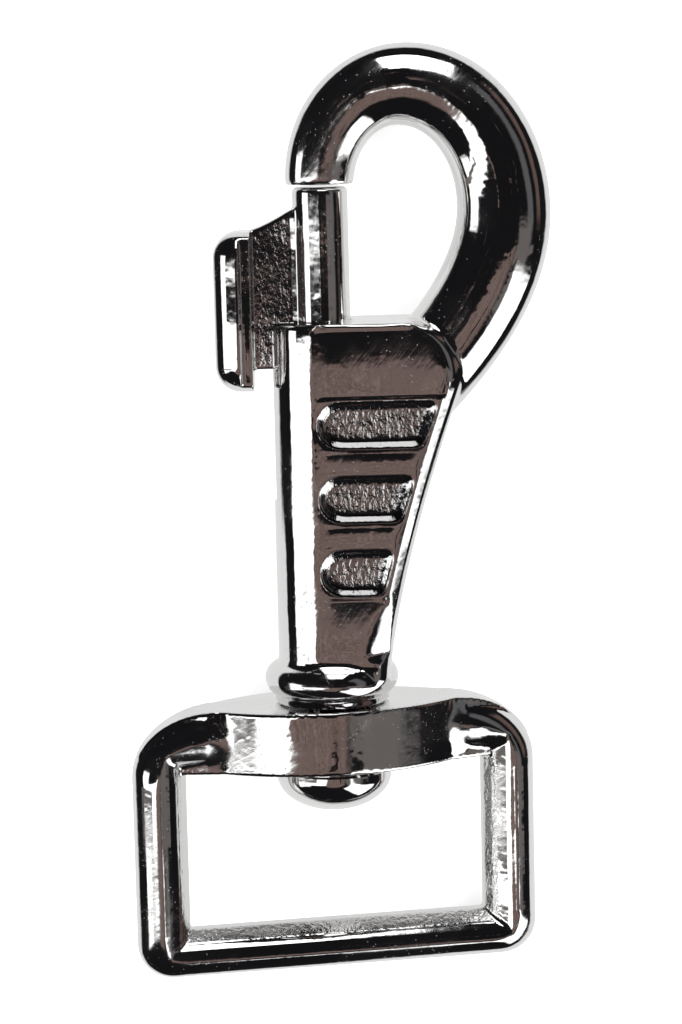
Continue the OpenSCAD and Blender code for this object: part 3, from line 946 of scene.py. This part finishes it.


# Where the castings were left rough, and where shade is painted on the pockets' lower walls. The pairs are
# where a mask starts and where it is full.
roughSizes = {
    "zoneLeft": -0.0011, "zoneRight": 0.012, "zoneHigh": 0.006, "zoneLow": 0.024, "zoneOver": 0.0003,
    "zoneDepth": 0.0033, "floorDeep": 0.00022, "floorUp": (0.80, 0.94), "wallUp": (0.3, 0.975, 0.01),
    # the last two entries below set the painted shade on the pockets' lower walls
    "wallShare": 0.5, "paintedShadeUp": (0.12, 0.30), "paintedShadeShare": 0.92,
    "eyeX": 0.0064, "eyeHeight": 0.0086, "eyeFacing": (0.80, 0.92), "eyeShare": 0.75,
    "loopHalf": 0.0018, "loopShare": 0.6, "topHeight": 0.0184, "topUp": (0.9, 0.98), "topShare": 0.4,
    "finGap": 0.0003, "finShare": 0.40, "edge": 0.0001,
}


# The zone of the pockets on both faces, up to the slanting line where they end
def pocketZone(tree, coords):
    s, edge = roughSizes, roughSizes["edge"]
    x, y, z = parts(tree, coords.outputs["Object"])
    high, low = height["bodyTop"] - s["zoneHigh"], height["bodyTop"] - s["zoneLow"]
    lean = (facetX(high) - facetX(low)) / (high - low)
    rightEnd = plus(tree, product(tree, y, lean), facetX(low) - low * lean + s["zoneOver"])
    across = product(tree, band(tree, x, s["zoneLeft"], s["zoneRight"], edge),
                     ramp(tree, minus(tree, x, rightEnd), 2 * edge, -2 * edge))
    deep = ramp(tree, maths(tree, "ABSOLUTE", z), s["zoneDepth"] - edge, s["zoneDepth"] + edge)
    return product(tree, across, band(tree, y, low, high, 2 * edge), deep)


# Painted shade: the colour of the pockets' lower walls, which face up, is darkened
def hookPaintedShade(tree, coords):
    s = roughSizes
    up = parts(tree, coords.outputs["Normal"])[1]
    return product(tree, pocketZone(tree, coords), ramp(tree, up, *s["paintedShadeUp"]), s["paintedShadeShare"])


# Left rough on the hook: the pockets and the wall of the eye
def hookRough(tree, coords):
    s, top = roughSizes, height["bodyTop"]
    y, z = parts(tree, coords.outputs["Object"])[1:]
    deep = band(tree, maths(tree, "ABSOLUTE", z), 0.0, bodySizes["depth"] / 2 - s["floorDeep"], s["edge"])
    upright = maths(tree, "ABSOLUTE", parts(tree, coords.outputs["Normal"])[2])
    flat = product(tree, deep, ramp(tree, upright, *s["floorUp"]))
    walls = product(tree, band(tree, upright, *s["wallUp"]), s["wallShare"])
    pockets = product(tree, pocketZone(tree, coords), larger(tree, flat, walls))
    eye = facing(tree, coords, s["eyeX"], top + s["eyeHeight"])
    wall = product(tree, ramp(tree, eye, *s["eyeFacing"]),
                   ramp(tree, y, top - 5 * s["edge"], top + 5 * s["edge"]))
    return larger(tree, pockets, product(tree, wall, s["eyeShare"]))


# Left rough on the loop: the walls of the opening, and the top of the crossbar a little
def loopRough(tree, coords):
    s = roughSizes
    lean = addNode(tree, "ShaderNodeVectorRotate", Vector=coords.outputs["Object"],
                   Angle=-math.radians(loopSizes["turn"]))
    lean.rotation_type = "Y_AXIS"
    x, y, z = parts(tree, lean.outputs["Vector"])
    halfX, halfY = loopSizes["openingWidth"] / 2, loopSizes["openingHeight"] / 2
    overX = minus(tree, maths(tree, "ABSOLUTE", x), halfX)
    overY = minus(tree, maths(tree, "ABSOLUTE", minus(tree, y, halfY)), halfY)
    over = larger(tree, overX, overY)
    walls = band(tree, over, -apart, loopSizes["sideBar"] * loopSizes["roughShare"], 0.6 * s["edge"])
    inner = ramp(tree, maths(tree, "ABSOLUTE", z), s["loopHalf"] + s["edge"], s["loopHalf"] - s["edge"])
    up = parts(tree, coords.outputs["Normal"])[1]
    top = ramp(tree, y, s["topHeight"] - 4 * s["edge"], s["topHeight"] + 4 * s["edge"])
    return larger(tree, product(tree, walls, inner, s["loopShare"]),
                 product(tree, ramp(tree, up, *s["topUp"]), top, s["topShare"]))


# Left rough on the bolt: the fin
def boltRough(tree, coords):
    s = roughSizes
    x = parts(tree, coords.outputs["Object"])[0]
    left, right = boltSizes["thumbWidth"] - boltSizes["thumbX"], -boltSizes["rodRadius"] - s["finGap"]
    return product(tree, band(tree, x, left, right, s["edge"]), s["finShare"])


def wearMaterial(piece, material):
    piece.data.materials.clear()
    piece.data.materials.append(material)


chrome = (0.80, 0.795, 0.79)
# the body's chrome carries painted shade on the pockets' lower walls
wearMaterial(hookCasting, metalMaterial("bodyChrome", chrome, hookRough, 0.7, 0.8, hookPaintedShade))
wearMaterial(slidingBolt, metalMaterial("boltChrome", chrome, boltRough, 0.2, 0.5))
wearMaterial(strapLoop, metalMaterial("loopChrome", chrome, loopRough, 1.2, 0.9))
wearMaterial(swivelRivet, metalMaterial("rivetChrome", chrome, None, 0.4, 0.6))
wearMaterial(boltSpring, metalMaterial("springSteel", (0.42, 0.41, 0.40)))
print("materials done")

# The studio: a pale floor, two lamps that light it, and the room that the metal shows
studio = {
    "floorSize": 3.0, "floorColour": (0.90, 0.90, 0.90), "floorGlow": 0.56,
    "floorShown": (0.86, 0.86, 0.86), "floorFar": (0.010, 0.010, 0.011), "nearFloor": 0.0145,
    "nearSoft": 0.003, "bodyBox": ((-0.004, 0.02), (0.010, 0.052)),
    "ringBox": ((-0.001, 0.056), (0.0175, 0.073)),
    "lampAim": (0, 0.035, 0), "lampSize": 0.6,
    "roomDark": (0.008, 0.008, 0.009), "roomWarm": (0.13, 0.088, 0.078), "roomWarmLight": (0.24, 0.18, 0.165),
    "roomGrey": (0.11, 0.11, 0.115), "roomDust": (0.15, 0.135, 0.13), "panelColour": (1.7, 1.7, 1.7),
}
archLamp = {"spot": (0.0125, 0.116, 0.0425), "width": 0.042, "length": 0.061, "power": 0.018}


# How far a spot on the floor lies outside a box, in the flat plane
def distanceTo(tree, x, y, low, high):
    squares = []
    for value, start, end in ((x, low[0], high[0]), (y, low[1], high[1])):
        away = maths(tree, "ABSOLUTE", minus(tree, value, (start + end) / 2))
        beyond = larger(tree, minus(tree, away, (end - start) / 2), 0.0)
        squares.append(product(tree, beyond, beyond))
    return maths(tree, "SQRT", plus(tree, *squares))


# In the metal only the floor close round the object shows pale, as between dark cards
def addFloor():
    deselectAll()
    bpy.ops.mesh.primitive_plane_add(size=studio["floorSize"], location=(0, 0.03, floorHeight))
    floor = settle(named("floor"))
    material, tree, shader = newMaterial("paleFloor")
    shader.inputs["Roughness"].default_value = 0.9
    shader.inputs["Specular IOR Level"].default_value = 0
    shader.inputs["Base Color"].default_value = (*studio["floorColour"], 1)
    shader.inputs["Emission Color"].default_value = (1, 1, 1, 1)
    path = tree.nodes.new("ShaderNodeLightPath")
    glow = product(tree, path.outputs["Is Camera Ray"], studio["floorGlow"])
    plug(tree, glow, shader.inputs["Emission Strength"])
    x, y = parts(tree, tree.nodes.new("ShaderNodeTexCoord").outputs["Object"])[:2]
    distance = studio["floorSize"]
    for low, high in (studio["bodyBox"], studio["ringBox"], loopBox):
        distance = maths(tree, "MINIMUM", distanceTo(tree, x, y, low, high), distance)
    near = band(tree, distance, -1.0, studio["nearFloor"], studio["nearSoft"])
    shown = addNode(tree, "ShaderNodeEmission")
    tree.links.new(mixed(tree, near, studio["floorFar"], studio["floorShown"]), shown.inputs["Color"])
    mix = tree.nodes.new("ShaderNodeMixShader")
    tree.links.new(path.outputs["Is Glossy Ray"], mix.inputs["Fac"])
    tree.links.new(shader.outputs["BSDF"], mix.inputs[1])
    tree.links.new(shown.outputs["Emission"], mix.inputs[2])
    tree.links.new(mix.outputs["Shader"], tree.nodes["Material Output"].inputs["Surface"])
    wearMaterial(floor, material)


addFloor()


def softBox(name, spot, power):
    deselectAll()
    bpy.ops.object.light_add(type="AREA", location=spot)
    lamp = named(name)
    lamp.data.shape = "SQUARE"
    lamp.data.size = studio["lampSize"]
    lamp.data.energy = power
    lamp.visible_glossy = False
    lamp.rotation_euler = (Vector(studio["lampAim"]) - Vector(spot)).to_track_quat("-Z", "Y").to_euler()


# A small soft box close beyond the arch, for the metal only
def archBox():
    deselectAll()
    bpy.ops.object.light_add(type="AREA", location=archLamp["spot"], rotation=(-math.pi / 2, 0, 0))
    lamp = named("archLamp")
    lamp.data.shape = "RECTANGLE"
    lamp.data.size = archLamp["width"]
    lamp.data.size_y = archLamp["length"]
    lamp.data.energy = archLamp["power"]
    lamp.visible_diffuse = False
    lamp.visible_camera = False


archBox()
softBox("leftLamp", (-0.42, -0.15, 0.55), 5.0)
softBox("rightLamp", (0.40, 0.30, 0.60), 4.0)


# A soft-edged panel in the room, measured in degrees
def addPanelGroup():
    names = ("Turn", "Half", "High", "Low", "Soft")
    tree, inside, outside = newGroup(
        "roomPanel", [("Direction", "Vector"), *((name, "Float") for name in names)], [("Mask", "Float")])
    turned = addNode(tree, "ShaderNodeVectorRotate", Vector=inside.outputs["Direction"],
                     Angle=maths(tree, "RADIANS", maths(tree, "MULTIPLY", inside.outputs["Turn"], -1.0)))
    turned.rotation_type = "Z_AXIS"
    x, y, z = parts(tree, turned.outputs["Vector"])
    around = maths(tree, "ABSOLUTE", maths(tree, "DEGREES", maths(tree, "ARCTAN2", y, x)))
    steep = maths(tree, "DEGREES", maths(tree, "ARCCOSINE", z))
    soft = inside.outputs["Soft"]

    def rising(value, edge):
        return ramp(tree, value, minus(tree, edge, soft), plus(tree, edge, soft))

    sides = minus(tree, 1.0, rising(around, inside.outputs["Half"]))
    low = minus(tree, 1.0, rising(steep, inside.outputs["Low"]))
    tree.links.new(product(tree, sides, low, rising(steep, inside.outputs["High"])), outside.inputs["Mask"])
    return tree


# For each panel, in degrees: its turn, half its width, its start and end off the zenith, its soft edge
roomPanels = {
    "patches": (0, 200, -20, 26, 3), "grey": (15, 34, 44, 60, 4), "warm": (20, 24, 74, 90, 4),
    "dust": (-20, 16, 27, 56, 2), "strip": (182, 43, -20, 76, 2), "crossbarDark": (-25, 14, 27, 35, 1.5),
    "crossbarDust": (-15, 14, 56, 72, 2), "left": (188, 17, 52, 78, 2), "right": (-43, 19, 36, 100, 2),
}
# The edges of the patches and bands that the room shows
roomSizes = {
    "patchScale": 12.0, "patchEdge": (0.48, 0.51), "patchRise": (-0.12, -0.07, -0.14, 0.17),
    "fineScale": 70.0, "fineEdge": (0.40, 0.64), "row": (-0.245, -0.2035, 0.003), "aside": (-0.68, -0.72),
    "stripAcross": (-0.045, -0.075), "stripAlong": (-0.29, -0.083, 0.008), "lowestRise": 0.02,
}


def addWorld():
    s = roomSizes
    world = bpy.data.worlds.new("studioRoom")
    bpy.context.scene.world = world
    world.use_nodes = True
    tree = world.node_tree
    panelGroup = addPanelGroup()
    direction = tree.nodes.new("ShaderNodeTexCoord").outputs["Generated"]

    def panel(name):
        turn, half, high, low, soft = roomPanels[name]
        return useGroup(tree, panelGroup, Direction=direction, Turn=turn, Half=half, High=high, Low=low,
                        Soft=soft).outputs["Mask"]

    x, y, z = parts(tree, direction)
    rise = larger(tree, z, s["lowestRise"])
    roofX, roofY = maths(tree, "DIVIDE", x, rise), maths(tree, "DIVIDE", y, rise)
    # the dark room with its warm patches, and its grey and dusty parts
    patches = noise(tree, direction, s["patchScale"], 3.0)
    patches = minus(tree, patches, ramp(tree, roofY, *s["patchRise"]))
    warm = product(tree, ramp(tree, patches, *s["patchEdge"]), panel("patches"))
    fine = ramp(tree, noise(tree, direction, s["fineScale"], 3.0), *s["fineEdge"])
    warmth = mixed(tree, fine, studio["roomWarm"], studio["roomWarmLight"])
    colour = mixed(tree, warm, studio["roomDark"], warmth)
    row = band(tree, y, *s["row"])     # what the crossbar's front shows
    aside = product(tree, row, ramp(tree, roofX, *s["aside"]))
    for mask, shown in ((panel("grey"), "roomGrey"), (panel("warm"), "roomWarm"), (panel("dust"), "roomDust"),
                        (aside, "roomDust"), (product(tree, row, panel("crossbarDark")), "roomDark"),
                        (product(tree, row, panel("crossbarDust")), "roomDust")):
        colour = mixed(tree, mask, colour, studio[shown])
    # the white panels
    strip = product(tree, ramp(tree, roofX, *s["stripAcross"]), band(tree, y, *s["stripAlong"]),
                    panel("strip"))
    kept = minus(tree, 1.0, aside)
    for mask in (product(tree, strip, kept), product(tree, panel("left"), kept), panel("right")):
        colour = mixed(tree, mask, colour, studio["panelColour"])
    path = tree.nodes.new("ShaderNodeLightPath")
    colour = mixed(tree, path.outputs["Is Camera Ray"], colour, (1.0, 1.0, 1.0))
    tree.links.new(colour, tree.nodes["Background"].inputs["Color"])


addWorld()

cameraSizes = {
    "spot": (0.00214, 0.07641, 0.2726), "pitch": 8.5, "roll": 1.41, "lens": 113.2, "sensor": 36,
    "clipStart": 0.01, "clipEnd": 20,
}


def addCamera():
    s = cameraSizes
    deselectAll()
    bpy.ops.object.camera_add(location=s["spot"])
    camera = named("photoCamera")
    pitch, roll = math.radians(s["pitch"]), math.radians(s["roll"])
    across = Vector((math.cos(roll), -math.sin(roll), 0))
    along = Vector((math.sin(roll), math.cos(roll), 0))
    up = along * math.cos(pitch) - Vector((0, 0, 1)) * math.sin(pitch)
    back = along * math.sin(pitch) + Vector((0, 0, 1)) * math.cos(pitch)
    camera.rotation_euler = Matrix((across, up, back)).transposed().to_euler()
    camera.data.lens = s["lens"]
    camera.data.sensor_width = s["sensor"]
    camera.data.clip_start = s["clipStart"]
    camera.data.clip_end = s["clipEnd"]
    bpy.context.scene.camera = camera


addCamera()
bpy.context.scene.view_settings.view_transform = "Standard"
print("stage done")
